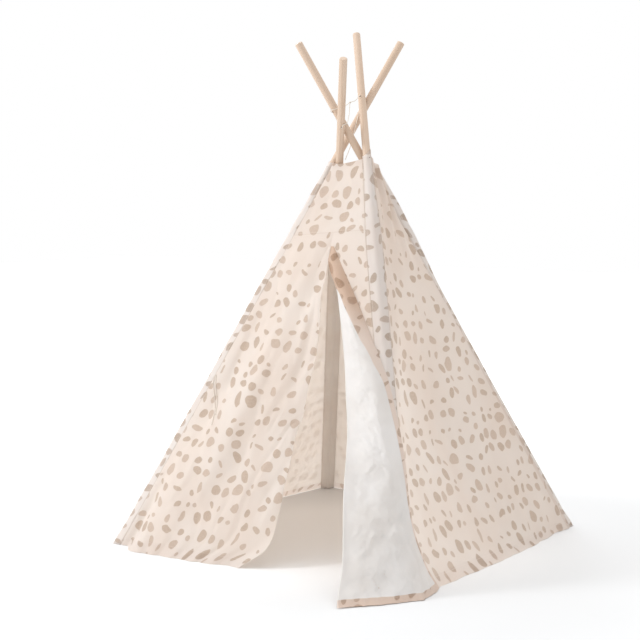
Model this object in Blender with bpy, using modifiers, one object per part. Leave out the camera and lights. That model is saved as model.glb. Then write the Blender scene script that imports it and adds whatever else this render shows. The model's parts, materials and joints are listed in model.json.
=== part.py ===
"""Kids teepee: four two-piece wooden poles that lean together through a lashing
cord, in the corner sleeves of a lined cotton cover with a two-flap door.

Metres, +Z up. The feet stand on z = 0 and the door faces -Y. Each pole pivots
where the cover's top gathers it, so that the frame folds to an upright bundle.
"""
import math

import bmesh
import bpy
from mathutils import Matrix, Vector

# Frame
BASE_SIDE = 1.05
GATHER_HEIGHT = 1.17
POLE_LENGTH = 1.79
POLE_DIAMETER = 0.024
POLE_END_ROUND = 0.003
FERRULE_LENGTH = 0.09
FERRULE_WALL = 0.0006
FIT_GAP = 0.0003

# Lashing at the top
HOLE_DROP = 0.2325
HOLE_DIAMETER = 0.0062
CORD_DIAMETER = 0.0024
KNOT_DIAMETER = 0.0075

# Cover
CLOTH = 0.0012
SLEEVE_LENGTH = 1.37
SLEEVE_FLAT_WIDTH = 0.048
SEAM_GAP = 0.0008
HEM_LIFT = 0.004
HEM_LIP = 0.03
SEAM_DROP = 0.262
SIDE_TOP_DROP = 0.07
SIDE_SAG = 0.058
BACK_SAG = 0.026
HEM_FLARE = 0.022
HEADER_DIP = 0.012

# Door
SLIT_BELOW_SEAM = 0.042
DOOR_GAP = 0.0006
FLAP_HINGE_INSET = 0.128
FLAP_SAG = 0.043
FLAP_CORNER_TURN = 0.056
PANEL_SAG = 0.008
FOLD_REACH = 0.172
TURNED_BULGE = 0.06
FLAP_STANDOFF = 0.0065
RIGHT_HEM_INSET = 0.008
RIGHT_HEM_OUT = 0.0016
FREE_CORNER_INSET = 0.021
TIE_DIAMETER = 0.0026
TIE_STANDOFF = 0.0032

# Counts
POLE_SIDES = 28
SLEEVE_ARC_STEPS = 8
HOLE_SIDES = 12
KNOT_SIDES = 12
MOST_CORD_STEPS = 78

# Where the feet stand, in shares of the base side, from above counter-clockwise
FRONT_LEFT_FOOT_SHARES = (-0.521, -0.440)
FRONT_RIGHT_FOOT_SHARES = (0.485, -0.430)
BACK_RIGHT_FOOT_SHARES = (0.448, 0.560)
BACK_LEFT_FOOT_SHARES = (-0.508, 0.595)
# Where the poles leave their sleeves, in shares of a sleeve's top width, round a
# centre that is a share of the base side
GATHER_CENTRE_SHARE = (0.006, 0.007)
FRONT_LEFT_TOP_SHARES = (-2.6107, 0.2959)
FRONT_RIGHT_TOP_SHARES = (2.3305, -0.2640)
BACK_RIGHT_TOP_SHARES = (1.6084, 0.7848)
BACK_LEFT_TOP_SHARES = (-2.1982, 0.6665)
# Which way each pole's cord hole points from the pole's middle, in degrees from +X
FRONT_LEFT_HOLE_HEADING = -88
FRONT_RIGHT_HOLE_HEADING = -78
BACK_RIGHT_HOLE_HEADING = -112
BACK_LEFT_HOLE_HEADING = -44
# Where the knot hangs, and the bends of the cord between it and the holes
KNOT_PLACE = (0.002, 0.007, 1.372)
CORD_BENDS = {
    "lashing_cord_back_right": [(0.009, -0.043, 1.354), (0.005, -0.068, 1.349), (-0.010, -0.077, 1.345)],
    "lashing_cord_back_left": [
        (0.006, -0.002, 1.342), (0.019, -0.026, 1.320), (0.034, -0.054, 1.306), (0.034, -0.074, 1.299),
    ],
    "lashing_cord_front": [(0.007, 0.029, 1.379)],
    "between the front poles": [(-0.003, 0.092, 1.386), (-0.004, 0.107, 1.372)],
    "tail": [
        (0.000, 0.061, 1.345), (-0.006, 0.054, 1.313), (-0.013, 0.047, 1.273),
        (-0.018, 0.038, 1.238), (-0.025, 0.020, 1.196),
    ],
}
# The left tie's two strands on the door's left panel, in shares of its width and height
LONG_TIE_SHARES = [(0.04, 0.555), (0.16, 0.52), (0.36, 0.47), (0.56, 0.43), (0.72, 0.395)]
SHORT_TIE_SHARES = [(0.03, 0.535), (0.12, 0.50), (0.28, 0.46), (0.42, 0.425), (0.50, 0.405)]
# The slit's top along the door's width
SLIT_SHARE = 0.565
# How far apart a cord's points are, in cord diameters
CORD_STEP_SHARE = 2.5
# How far the header stands out round the back left pole, in pole diameters
HEADER_BULGE_SHARE = 1.0
# How far the cloth runs out at the hinge's foot, under the free edge and in the
# turned corner, in shares of the hem's flare
HINGE_FLARE_SHARE = 1.5
FLAP_FLARE_SHARE = 0.6
CORNER_FLARE_SHARE = 0.35
# The turned-back edge: its height in shares of the slit's, with its place across the
# sleeve or across the right panel
EDGE_ON_SLEEVE_SHARES = [(0.62, -0.16), (0.38, 0.78)]
EDGE_ON_PANEL_SHARES = [(0.11, 0.045), (0, 0.108)]
# How far apart the fold's two layers stand, in shares of a layer
LAYER_SPREAD_SHARE = 1.4

# Which way the fold runs over the floor, and which way the outer layer lies from it,
# in degrees from +X
FOLD_HEADING = -117
OUTER_LAYER_HEADING = -23

WOOD = ("pale pine", (0.66, 0.47, 0.32, 1.0), 0.55, 0.0)
STEEL = ("galvanised steel", (0.62, 0.62, 0.62, 1.0), 0.35, 1.0)
CORD = ("cotton cord", (0.78, 0.73, 0.64, 1.0), 0.85, 0.0)
PRINT = ("printed cotton", (0.84, 0.74, 0.69, 1.0), 0.9, 0.0)
LINING = ("white lining", (0.87, 0.85, 0.83, 1.0), 0.9, 0.0)

POLE_RADIUS = POLE_DIAMETER / 2
FERRULE_RADIUS = POLE_RADIUS + FIT_GAP + FERRULE_WALL
UP = Vector((0, 0, 1))


def lerp(a, b, share):
    return a + (b - a) * share


def level(heading):
    return Vector((math.cos(math.radians(heading)), math.sin(math.radians(heading)), 0))


def bump(share, skew=1.0):
    """0 at both ends and 1 between them."""
    return math.sin(math.pi * min(max(share, 0), 1) ** skew)


class Corner:
    """One pole's line, from the middle of its foot up through its sleeve's top."""

    def __init__(self, name, foot_shares, top_shares, hole_heading):
        self.name = name
        self.foot = Vector((*foot_shares, 0)) * BASE_SIDE
        middle = Vector((*GATHER_CENTRE_SHARE, 0)) * BASE_SIDE
        top = middle + Vector((*top_shares, 0)) * 2 * (POLE_RADIUS + FIT_GAP + CLOTH)
        top.z = math.sqrt(SLEEVE_LENGTH ** 2 - (top - self.foot).length_squared)
        self.axis = (top - self.foot).normalized()
        self.pivot = self.at_height(GATHER_HEIGHT)
        self.hole_heading = hole_heading
        self.outward = Vector((-self.axis.x, -self.axis.y, 0)).normalized()
        self.side = UP.cross(self.outward)
        lift = CLOTH + FIT_GAP + POLE_RADIUS * math.sin(self.axis.angle(UP))
        self.pole_start = lift / self.axis.z

    def at(self, along):
        return self.foot + self.axis * along

    def at_height(self, z):
        return self.at(z / self.axis.z)

    def half_thickness(self, along):
        """The sleeve tapers only above the ferrule, which it has to clear."""
        low = FERRULE_RADIUS + FIT_GAP + CLOTH
        high = POLE_RADIUS + FIT_GAP + CLOTH
        taper_start = self.pole_start + (POLE_LENGTH + FERRULE_LENGTH) / 2
        share = (along - taper_start) / (SLEEVE_LENGTH - taper_start)
        return lerp(low, high, min(max(share, 0), 1))

    def half_width(self, along):
        return lerp(SLEEVE_FLAT_WIDTH / 2, self.half_thickness(SLEEVE_LENGTH), along / SLEEVE_LENGTH)

    def tip(self, along, turn):
        """Where a panel's edge is sewn on: turn is 1 counter-clockwise, -1 clockwise."""
        return self.at(along) + self.side * turn * (self.half_width(along) + SEAM_GAP)


def start_scene():
    for old in list(bpy.data.objects):
        bpy.data.objects.remove(old)
    parts = bpy.data.collections.new("kids_teepee")
    cutters = bpy.data.collections.new("cutters")
    for collection in (parts, cutters):
        bpy.context.scene.collection.children.link(collection)
    return parts, cutters


def material(kind):
    name, colour, roughness, metallic = kind
    found = bpy.data.materials.get(name)
    if found:
        return found
    made = bpy.data.materials.new(name)
    made.use_nodes = True
    shader = made.node_tree.nodes["Principled BSDF"]
    shader.inputs["Base Color"].default_value = colour
    shader.inputs["Roughness"].default_value = roughness
    shader.inputs["Metallic"].default_value = metallic
    made.diffuse_color = colour
    return made


def add_object(name, data, kind, parent=None, smooth_below=None):
    made = bpy.data.objects.new(name, data)
    data.materials.clear()
    data.materials.append(material(kind))
    PARTS.objects.link(made)
    if parent:
        made.parent = parent
    if smooth_below:
        data.shade_smooth()
        data.set_sharp_from_angle(angle=math.radians(smooth_below))
    return made


def keep_in_place(made, parent):
    """Hang a mesh that is drawn in the model's own frame on a turned parent."""
    made.parent = parent
    made.matrix_parent_inverse = parent.matrix_world.inverted()


def pivot_empty(name, place, along_x, up):
    """An empty on a joint, whose X axis is the joint's axis."""
    made = bpy.data.objects.new(name, None)
    x = along_x.normalized()
    y = up.cross(x).normalized()
    frame = Matrix((x, y, x.cross(y))).transposed()
    made.matrix_world = Matrix.Translation(place) @ frame.to_4x4()
    PARTS.objects.link(made)
    return made


def bmesh_to_mesh(name, bm):
    mesh = bpy.data.meshes.new(name)
    bm.to_mesh(mesh)
    bm.free()
    return mesh


def rod(name, length, radius, kind, parent, base, round_low, round_high):
    """A round bar along its parent's Z axis, with one or both ends rounded over."""
    bm = bmesh.new()
    bmesh.ops.create_cone(bm, cap_ends=True, segments=POLE_SIDES, radius1=radius, radius2=radius, depth=length)
    ends = [e for e in bm.edges if abs(e.verts[0].co.z - e.verts[1].co.z) < radius]
    rounded = [e for e in ends if (e.verts[0].co.z > 0 and round_high) or (e.verts[0].co.z < 0 and round_low)]
    bmesh.ops.bevel(bm, geom=rounded, offset=POLE_END_ROUND, segments=2, profile=0.5, affect="EDGES")
    made = add_object(name, bmesh_to_mesh(name, bm), kind, parent, smooth_below=40)
    made.location = (0, 0, base + length / 2)
    return made


def cut_hole(target, corner, parent, height):
    """A cross hole for the cord, along the corner's own heading."""
    bm = bmesh.new()
    radius = HOLE_DIAMETER / 2
    bmesh.ops.create_cone(bm, cap_ends=True, segments=HOLE_SIDES, radius1=radius, radius2=radius, depth=POLE_DIAMETER * 2)
    cutter = bpy.data.objects.new("hole_cutter_" + corner.name, bmesh_to_mesh("hole", bm))
    cutter.hide_render = True
    cutter.display_type = "WIRE"
    CUTTERS.objects.link(cutter)
    place = parent.matrix_world @ Vector((0, 0, height))
    cutter.matrix_world = Matrix.Translation(place) @ hole_direction(corner).to_track_quat("Z", "Y").to_matrix().to_4x4()
    cut = target.modifiers.new("cord hole", "BOOLEAN")
    cut.operation = "DIFFERENCE"
    cut.object = cutter


def hole_direction(corner):
    heading = level(corner.hole_heading)
    return (heading - corner.axis * heading.dot(corner.axis)).normalized()


def hole_place(corner):
    return corner.at(corner.pole_start + POLE_LENGTH - HOLE_DROP)


def build_pole(corner):
    """Two sections that meet in a ferrule, hung on an empty at the pole's pivot."""
    empty = pivot_empty("pivot_pole_" + corner.name, corner.pivot, corner.side, corner.axis)
    to_pivot = (corner.pivot - corner.foot).length
    start = corner.pole_start - to_pivot
    section = (POLE_LENGTH - FIT_GAP) / 2
    middle = start + POLE_LENGTH / 2
    rod("pole_lower_" + corner.name, section, POLE_RADIUS, WOOD, empty, start, True, False)
    upper_start = start + section + FIT_GAP
    upper = rod("pole_upper_" + corner.name, section, POLE_RADIUS, WOOD, empty, upper_start, False, True)
    cut_hole(upper, corner, empty, start + POLE_LENGTH - HOLE_DROP)
    build_ferrule(corner, empty, middle)
    build_sleeve(corner, empty)
    return empty


def build_ferrule(corner, empty, middle):
    bm = bmesh.new()
    outer = FERRULE_RADIUS
    bmesh.ops.create_cone(
        bm, cap_ends=False, segments=POLE_SIDES, radius1=outer, radius2=outer, depth=FERRULE_LENGTH
    )
    made = add_object("ferrule_" + corner.name, bmesh_to_mesh("ferrule", bm), STEEL, empty, smooth_below=40)
    made.location = (0, 0, middle)
    wall = made.modifiers.new("wall", "SOLIDIFY")
    wall.thickness = FERRULE_WALL
    wall.offset = -1
    wall.use_even_offset = True


def lens_ring(corner, along):
    """A level slice of the sleeve: two arcs that meet at its sewn edges."""
    width = corner.half_width(along)
    thick = corner.half_thickness(along)
    arc = (width * width + thick * thick) / (2 * thick)
    reach = math.asin(min(1, width / arc))
    middle = corner.at(along)
    ring = []
    for face in (1, -1):
        for step in range(SLEEVE_ARC_STEPS):
            angle = lerp(-reach, reach, step / SLEEVE_ARC_STEPS) * face
            out = (arc * math.cos(angle) - (arc - thick)) * face / corner.axis.z
            ring.append(middle + corner.side * arc * math.sin(angle) + corner.outward * out)
    return ring


def build_sleeve(corner, empty):
    """A sewn tube with a closed flat pocket, level with the floor, for the pole's foot."""
    taper_start = corner.pole_start + (POLE_LENGTH + FERRULE_LENGTH) / 2
    stations = [0, SLEEVE_LENGTH / 3, taper_start, (taper_start + SLEEVE_LENGTH) / 2, SLEEVE_LENGTH]
    bm = bmesh.new()
    rings = [[bm.verts.new(place) for place in lens_ring(corner, along)] for along in stations]
    count = len(rings[0])
    for low, high in zip(rings, rings[1:]):
        for i in range(count):
            j = (i + 1) % count
            bm.faces.new((low[i], low[j], high[j], high[i]))
    bm.faces.new(rings[0])
    bmesh.ops.recalc_face_normals(bm, faces=bm.faces)
    made = add_object("sleeve_" + corner.name, bmesh_to_mesh("sleeve", bm), PRINT, smooth_below=50)
    keep_in_place(made, empty)
    wall = made.modifiers.new("cloth", "SOLIDIFY")
    wall.thickness = CLOTH
    wall.offset = 1 if mesh_points_inward(made.data, corner) else -1
    wall.use_even_offset = True


def mesh_points_inward(mesh, corner):
    face = max(mesh.polygons, key=lambda p: p.area)
    away = Vector(face.center) - corner.at_height(face.center.z)
    return away.dot(face.normal) < 0


def cloth_sheet(name, surface, columns, rows, kind=PRINT, parent=None):
    """A grid bent onto surface(across, up), both 0 to 1, and thickened to cloth."""
    bm = bmesh.new()
    bmesh.ops.create_grid(bm, x_segments=columns, y_segments=rows, size=1)
    for vert in bm.verts:
        vert.co = surface((vert.co.x + 1) / 2, (vert.co.y + 1) / 2)
    made = add_object(name, bmesh_to_mesh(name, bm), kind, smooth_below=60)
    if parent:
        keep_in_place(made, parent)
    sheet = made.modifiers.new("cloth", "SOLIDIFY")
    sheet.thickness = CLOTH
    sheet.offset = 0
    sheet.use_even_offset = True
    return made


def lip(height):
    """1 at the floor, fading within the hem's lip, where the cloth runs outward."""
    return math.exp(-max(height - HEM_LIFT, 0) / HEM_LIP * 2)


class Face:
    """The flat span of cover between two neighbouring sleeves."""

    def __init__(self, first, second, top_drop=0):
        self.first = first
        self.second = second
        self.top = SLEEVE_LENGTH - top_drop
        run = second.foot - first.foot
        self.normal = run.cross(UP).normalized()

    def along(self, corner, up, top):
        return lerp(HEM_LIFT / corner.axis.z, top, up)

    def flat(self, across, up, top=None):
        top = top or self.top
        low = self.first.tip(self.along(self.first, up, top), 1)
        high = self.second.tip(self.along(self.second, up, top), -1)
        return lerp(low, high, across)


def hung(face, across, up, sag, flare, skew=1.0, low=2.4):
    """A side panel: it sags in between the poles and its hem runs out on the floor."""
    spread = bump(across, skew)
    place = face.flat(across, up)
    out = flare * lip(place.z) - sag * bump(1 - up, low)
    return place + face.normal * spread * out


def right_surface(across, up):
    return hung(FACES["right"], across, up ** 1.3, SIDE_SAG, HEM_FLARE, 0.62, 1.7)


def build_side_panels():
    cloth_sheet("right_side_panel", right_surface, 14, 14)
    cloth_sheet("back_panel", lambda a, u: hung(FACES["back"], a, u ** 1.3, BACK_SAG, HEM_FLARE / 2), 10, 10)
    cloth_sheet("left_side_panel", lambda a, u: hung(FACES["left"], a, u ** 1.3, BACK_SAG, HEM_FLARE / 2), 10, 10)


class Door:
    """Named places on the door face, from which its six pieces of cloth are cut."""

    def __init__(self):
        face = FACES["door"]
        self.face = face
        self.seam_top = SLEEVE_LENGTH - SEAM_DROP
        self.slit = face.flat(SLIT_SHARE, 1, self.seam_top - SLIT_BELOW_SEAM)
        self.left_slit = self.slit - Vector((DOOR_GAP, 0, 0))
        self.right_slit = self.slit + Vector((DOOR_GAP, 0, 0))
        left_foot = face.flat(0, 0)
        right_foot = face.flat(1, 0)
        run = (right_foot - left_foot).normalized()
        self.left_hem = left_foot + run * FLAP_HINGE_INSET + face.normal * HEM_FLARE * HINGE_FLARE_SHARE
        self.right_hem = right_foot - run * RIGHT_HEM_INSET + face.normal * RIGHT_HEM_OUT
        straight_down = lerp(left_foot, right_foot, SLIT_SHARE)
        self.free_corner = straight_down + run * FREE_CORNER_INSET
        self.run = run
        self.fold_end = self.right_hem + level(FOLD_HEADING) * FOLD_REACH
        self.layer = level(OUTER_LAYER_HEADING) * (CLOTH + DOOR_GAP) * LAYER_SPREAD_SHARE


def header_surface(across, up):
    """The band over the door: its lower edge is the cross seam."""
    low = DOOR.face.flat(across, 1, DOOR.seam_top)
    high = DOOR.face.flat(across, 1)
    dip = UP * HEADER_DIP * bump(across, 0.8) * up
    bulge = HEADER_BULGE_SHARE * POLE_DIAMETER * bump(across, 0.55) * up ** 4
    out = bulge - PANEL_SAG * bump(across) * bump(up)
    return lerp(low, high, up) - dip + DOOR.face.normal * out


def seam_edge(across):
    return DOOR.face.flat(across, 1, DOOR.seam_top - SEAM_GAP)


def door_side(across, up, outer_tip, hem, slit):
    """The part of the door that stays put, between a sleeve and a flap's hinge line."""
    reach = (DOOR.seam_top - SEAM_GAP) * up
    bend = 1 - SLIT_BELOW_SEAM / DOOR.seam_top
    top = seam_edge(SLIT_SHARE)
    top.x += slit.x - DOOR.slit.x
    inner = lerp(hem, slit, up / bend) if up < bend else lerp(slit, top, (up - bend) / (1 - bend))
    low = HEM_LIFT / outer_tip.axis.z
    turn = 1 if outer_tip is DOOR.face.first else -1
    outer = outer_tip.tip(max(reach, low), turn)
    sag = PANEL_SAG * bump(across) * bump(1 - up, 1.3)
    return lerp(outer, inner, across) - DOOR.face.normal * sag


def left_panel_surface(across, up):
    place = door_side(across, up, DOOR.face.first, DOOR.left_hem, DOOR.left_slit)
    place.z = max(place.z, HEM_LIFT)
    return place + DOOR.face.normal * HEM_FLARE / 2 * bump(across) * lip(place.z)


def right_panel_surface(across, up):
    return door_side(1 - across, up, DOOR.face.second, DOOR.right_hem, DOOR.right_slit)


def down_from_slit(start, end, down):
    """A point on a flap's edge: flaps start a little below the slit's very top."""
    return lerp(start, end, lerp(SLIT_BELOW_SEAM / DOOR.seam_top / 2, 1, down))


def left_flap_surface(across, up):
    """The closed flap: it falls inward toward its free edge and turns out at the hem."""
    down = 1 - up ** 1.25
    shift = DOOR.run * DOOR_GAP * 2
    hinge = down_from_slit(DOOR.left_slit, DOOR.left_hem, down) + shift
    free = down_from_slit(DOOR.left_slit, DOOR.free_corner, down) + shift
    turned = max(0, (down - 0.9) / 0.1) ** 1.5
    free -= DOOR.run * FLAP_CORNER_TURN * turned
    place = lerp(hinge, free, across)
    fall = FLAP_SAG * across ** 1.25 * bump(down, 2.2)
    out = FLAP_FLARE_SHARE * bump(across) * lip(place.z) + CORNER_FLARE_SHARE * across * turned
    return place + DOOR.face.normal * (HEM_FLARE * out - fall)


def fold_edge(down):
    """Where the open flap is folded back on itself: a straight line, so that it can turn."""
    return down_from_slit(DOOR.right_slit, DOOR.fold_end, down)


def inner_flap_surface(across, up):
    down = 1 - up ** 1.25
    hinge = down_from_slit(DOOR.right_slit, DOOR.right_hem, down) + DOOR.face.normal * (CLOTH + DOOR_GAP)
    return lerp(hinge, fold_edge(down), across)


def free_edge(down):
    """The turned-back edge: across the front sleeve, then down the right panel."""
    corner = FACES["right"].first
    clear = {}
    for height_share, side_share in EDGE_ON_SLEEVE_SHARES:
        along = DOOR.slit.z * height_share / corner.axis.z
        out = corner.half_thickness(along) / corner.axis.z + FLAP_STANDOFF
        side = corner.side * corner.half_width(along) * side_share
        clear[1 - height_share] = corner.at(along) + side + corner.outward * out
    for height_share, across in EDGE_ON_PANEL_SHARES:
        up = (DOOR.slit.z * height_share / FACES["right"].flat(across, 1).z) ** (1 / 1.3)
        standoff = FACES["right"].normal * (FLAP_STANDOFF + CLOTH)
        clear[1 - height_share] = right_surface(across, up) + standoff
    start = DOOR.right_slit + DOOR.layer + DOOR.run * FLAP_STANDOFF + DOOR.face.normal * (CLOTH + DOOR_GAP)
    stops = [(0, start)] + sorted(clear.items())
    for (low_at, low), (high_at, high) in zip(stops, stops[1:]):
        if down <= high_at:
            return lerp(low, high, (down - low_at) / (high_at - low_at))
    return stops[-1][1]


def turned_flap_surface(across, up):
    """The flap's outer half, lining outward, wrapped round the front right corner."""
    down = 1 - up ** 1.25
    fold = fold_edge(down) + DOOR.layer
    free = free_edge(lerp(SLIT_BELOW_SEAM / DOOR.seam_top / 2, 1, down))
    place = lerp(fold, free, across)
    chord = free - fold
    away = Vector((chord.y, -chord.x, 0)).normalized()
    return place + away * TURNED_BULGE * down ** 0.9 * bump(across, 1.6)


def build_door():
    face = DOOR.face
    cloth_sheet("door_header", header_surface, 10, 4)
    cloth_sheet("door_left_panel", left_panel_surface, 6, 14)
    cloth_sheet("door_right_panel", right_panel_surface, 5, 14)
    left_line = DOOR.left_hem - DOOR.left_slit
    left_pivot = pivot_empty("pivot_left_flap", DOOR.left_slit, -left_line, face.normal)
    cloth_sheet("door_left_flap", left_flap_surface, 12, 16, parent=left_pivot)
    cloth_sheet("door_right_flap_inner", inner_flap_surface, 5, 14)
    fold_line = DOOR.fold_end - DOOR.right_slit
    right_pivot = pivot_empty("pivot_right_flap", DOOR.right_slit + DOOR.layer, fold_line, face.normal)
    cloth_sheet("door_right_flap_turned_back", turned_flap_surface, 14, 16, LINING, right_pivot)


def tube(name, places, diameter, kind):
    """A cord along a smooth curve through its places, with a point every few diameters."""
    fine = smooth_route(places)
    total = sum((b - a).length for a, b in zip(fine, fine[1:]))
    points = spaced(fine, min(round(total / (diameter * CORD_STEP_SHARE)), MOST_CORD_STEPS))
    curve = bpy.data.curves.new(name, "CURVE")
    curve.dimensions = "3D"
    curve.bevel_depth = diameter / 2
    curve.bevel_resolution = 1
    curve.use_fill_caps = True
    spline = curve.splines.new("POLY")
    spline.points.add(len(points) - 1)
    for point, place in zip(spline.points, points):
        point.co = (*place, 1)
    return add_object(name, curve, kind)


def smooth_route(places, steps=12):
    """Catmull-Rom through the places."""
    ends = [places[0] * 2 - places[1]] + places + [places[-1] * 2 - places[-2]]
    fine = []
    for a, b, c, d in zip(ends, ends[1:], ends[2:], ends[3:]):
        for i in range(steps):
            t = i / steps
            fine.append(
                (b * 2 + (c - a) * t + (a * 2 - b * 5 + c * 4 - d) * t ** 2 + (b * 3 - a - c * 3 + d) * t ** 3) / 2
            )
    return fine + [places[-1]]


def spaced(fine, count):
    lengths = [0]
    for a, b in zip(fine, fine[1:]):
        lengths.append(lengths[-1] + (b - a).length)
    points = []
    at = 0
    for i in range(count + 1):
        want = lengths[-1] * i / count
        while at < len(fine) - 2 and lengths[at + 1] < want:
            at += 1
        span = lengths[at + 1] - lengths[at]
        points.append(lerp(fine[at], fine[at + 1], (want - lengths[at]) / span if span else 0))
    return points


def hole_end(corner, reach):
    """A place on the cord hole's axis, this far from the pole's middle."""
    return hole_place(corner) + hole_direction(corner) * reach


def bends(name):
    return [Vector(place) for place in CORD_BENDS[name]]


def from_knot(knot, first):
    return knot + (first - knot).normalized() * (KNOT_DIAMETER / 2 + FIT_GAP)


def build_lashing():
    """One knot and its strands, each of which ends in a pole's cross hole."""
    knot = Vector(KNOT_PLACE)
    bm = bmesh.new()
    bmesh.ops.create_uvsphere(bm, u_segments=KNOT_SIDES, v_segments=KNOT_SIDES, radius=KNOT_DIAMETER / 2)
    made = add_object("lashing_knot", bmesh_to_mesh("lashing_knot", bm), CORD, smooth_below=60)
    made.location = knot
    mouth = POLE_RADIUS + CORD_DIAMETER
    for name in ("back_right", "back_left"):
        route = bends("lashing_cord_" + name)
        corner = CORNERS[name]
        inside = [hole_end(corner, mouth), hole_end(corner, 0)]
        tube("lashing_cord_" + name, [from_knot(knot, route[0])] + route + inside, CORD_DIAMETER, CORD)
    near = CORNERS["front_right"]
    far = CORNERS["front_left"]
    route = bends("lashing_cord_front")
    through = [hole_end(near, mouth), hole_end(near, 0), hole_end(near, -mouth)]
    on = [hole_end(far, -mouth), hole_end(far, 0), hole_end(far, mouth)]
    places = [from_knot(knot, route[0])] + route + through + bends("between the front poles") + on + bends("tail")
    tube("lashing_cord_front", places, CORD_DIAMETER, CORD)


def build_left_tie():
    """Two strands of the tie that holds the left flap open, sewn in beside its sleeve."""
    out = DOOR.face.normal * TIE_STANDOFF
    for name, shares in (("left_tie_long", LONG_TIE_SHARES), ("left_tie_short", SHORT_TIE_SHARES)):
        tube(name, [left_panel_surface(across, up) + out for across, up in shares], TIE_DIAMETER, CORD)


PARTS, CUTTERS = start_scene()
CORNERS = {
    "front_left": Corner("front_left", FRONT_LEFT_FOOT_SHARES, FRONT_LEFT_TOP_SHARES, FRONT_LEFT_HOLE_HEADING),
    "front_right": Corner("front_right", FRONT_RIGHT_FOOT_SHARES, FRONT_RIGHT_TOP_SHARES, FRONT_RIGHT_HOLE_HEADING),
    "back_right": Corner("back_right", BACK_RIGHT_FOOT_SHARES, BACK_RIGHT_TOP_SHARES, BACK_RIGHT_HOLE_HEADING),
    "back_left": Corner("back_left", BACK_LEFT_FOOT_SHARES, BACK_LEFT_TOP_SHARES, BACK_LEFT_HOLE_HEADING),
}
FACES = {
    "door": Face(CORNERS["front_left"], CORNERS["front_right"]),
    "right": Face(CORNERS["front_right"], CORNERS["back_right"], SIDE_TOP_DROP),
    "back": Face(CORNERS["back_right"], CORNERS["back_left"]),
    "left": Face(CORNERS["back_left"], CORNERS["front_left"], SIDE_TOP_DROP),
}
DOOR = Door()

for each in CORNERS.values():
    build_pole(each)
build_side_panels()
build_door()
build_lashing()
build_left_tie()
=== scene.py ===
"""Looks for the kids teepee: a printed, lined cotton cover with a slit door, four
pale pine poles and a cord lashing, in the photographed pose.

Metres, +Z up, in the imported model's own frame.
"""
import json
import math

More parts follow.
